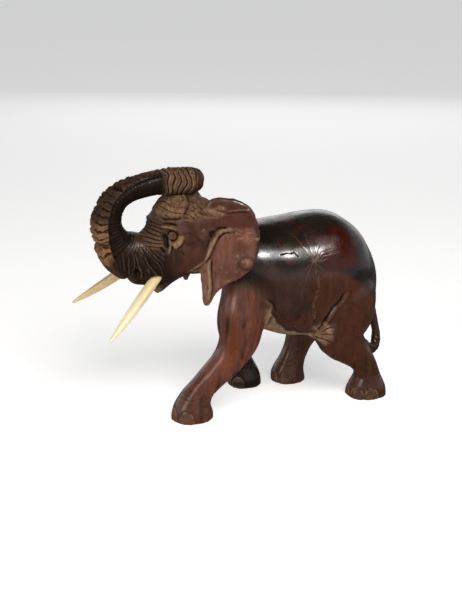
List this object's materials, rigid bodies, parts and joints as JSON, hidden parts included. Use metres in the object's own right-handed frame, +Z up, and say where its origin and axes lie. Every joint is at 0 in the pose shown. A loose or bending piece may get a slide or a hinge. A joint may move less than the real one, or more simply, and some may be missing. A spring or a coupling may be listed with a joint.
{
  "type": "carved wooden elephant",
  "caption": "Free-standing hardwood elephant figurine, striding with its trunk curled back onto its forehead, with two pale push-fit tusks.",
  "frame": {"origin": "on the surface it stands on, midway along its overall length and width", "axes": "+X towards the tail, -Y towards the elephant's left side, +Z up"},
  "size_m": [0.2632, 0.1084, 0.2051],
  "materials": {
    "polished_wood": "dark hardwood with a glossy lacquered polish, red-brown glints",
    "carved_wood": "the same dark hardwood with tool-cut wrinkles, satin",
    "ear_wood": "the same dark hardwood, waxed satin with rubbed high spots",
    "tusk_bone": "cream bone, satin, warmer at the root"
  },
  "bodies": {
    "carving": {"torso": "polished_wood", "head": "carved_wood", "lower_jaw": "carved_wood", "trunk_root": "carved_wood", "trunk_rise": "carved_wood", "trunk_curl": "carved_wood", "trunk_tip": "carved_wood", "left_ear": "ear_wood", "right_ear": "ear_wood", "left_foreleg": "polished_wood", "right_foreleg": "polished_wood", "left_hindleg": "polished_wood", "right_hindleg": "polished_wood", "tail": "polished_wood"},
    "left_tusk_rod": {"left_tusk": "tusk_bone"},
    "right_tusk_rod": {"right_tusk": "tusk_bone"}
  },
  "joints": [
    {"name": "left_tusk_pull", "type": "slide", "parent": "carving", "child": "left_tusk_rod", "axis": [-0.652, -0.5608, -0.5102], "range_m": [0, 0.012]},
    {"name": "right_tusk_pull", "type": "slide", "parent": "carving", "child": "right_tusk_rod", "axis": [-0.756, 0.2857, -0.5889], "range_m": [0, 0.012]}
  ]
}
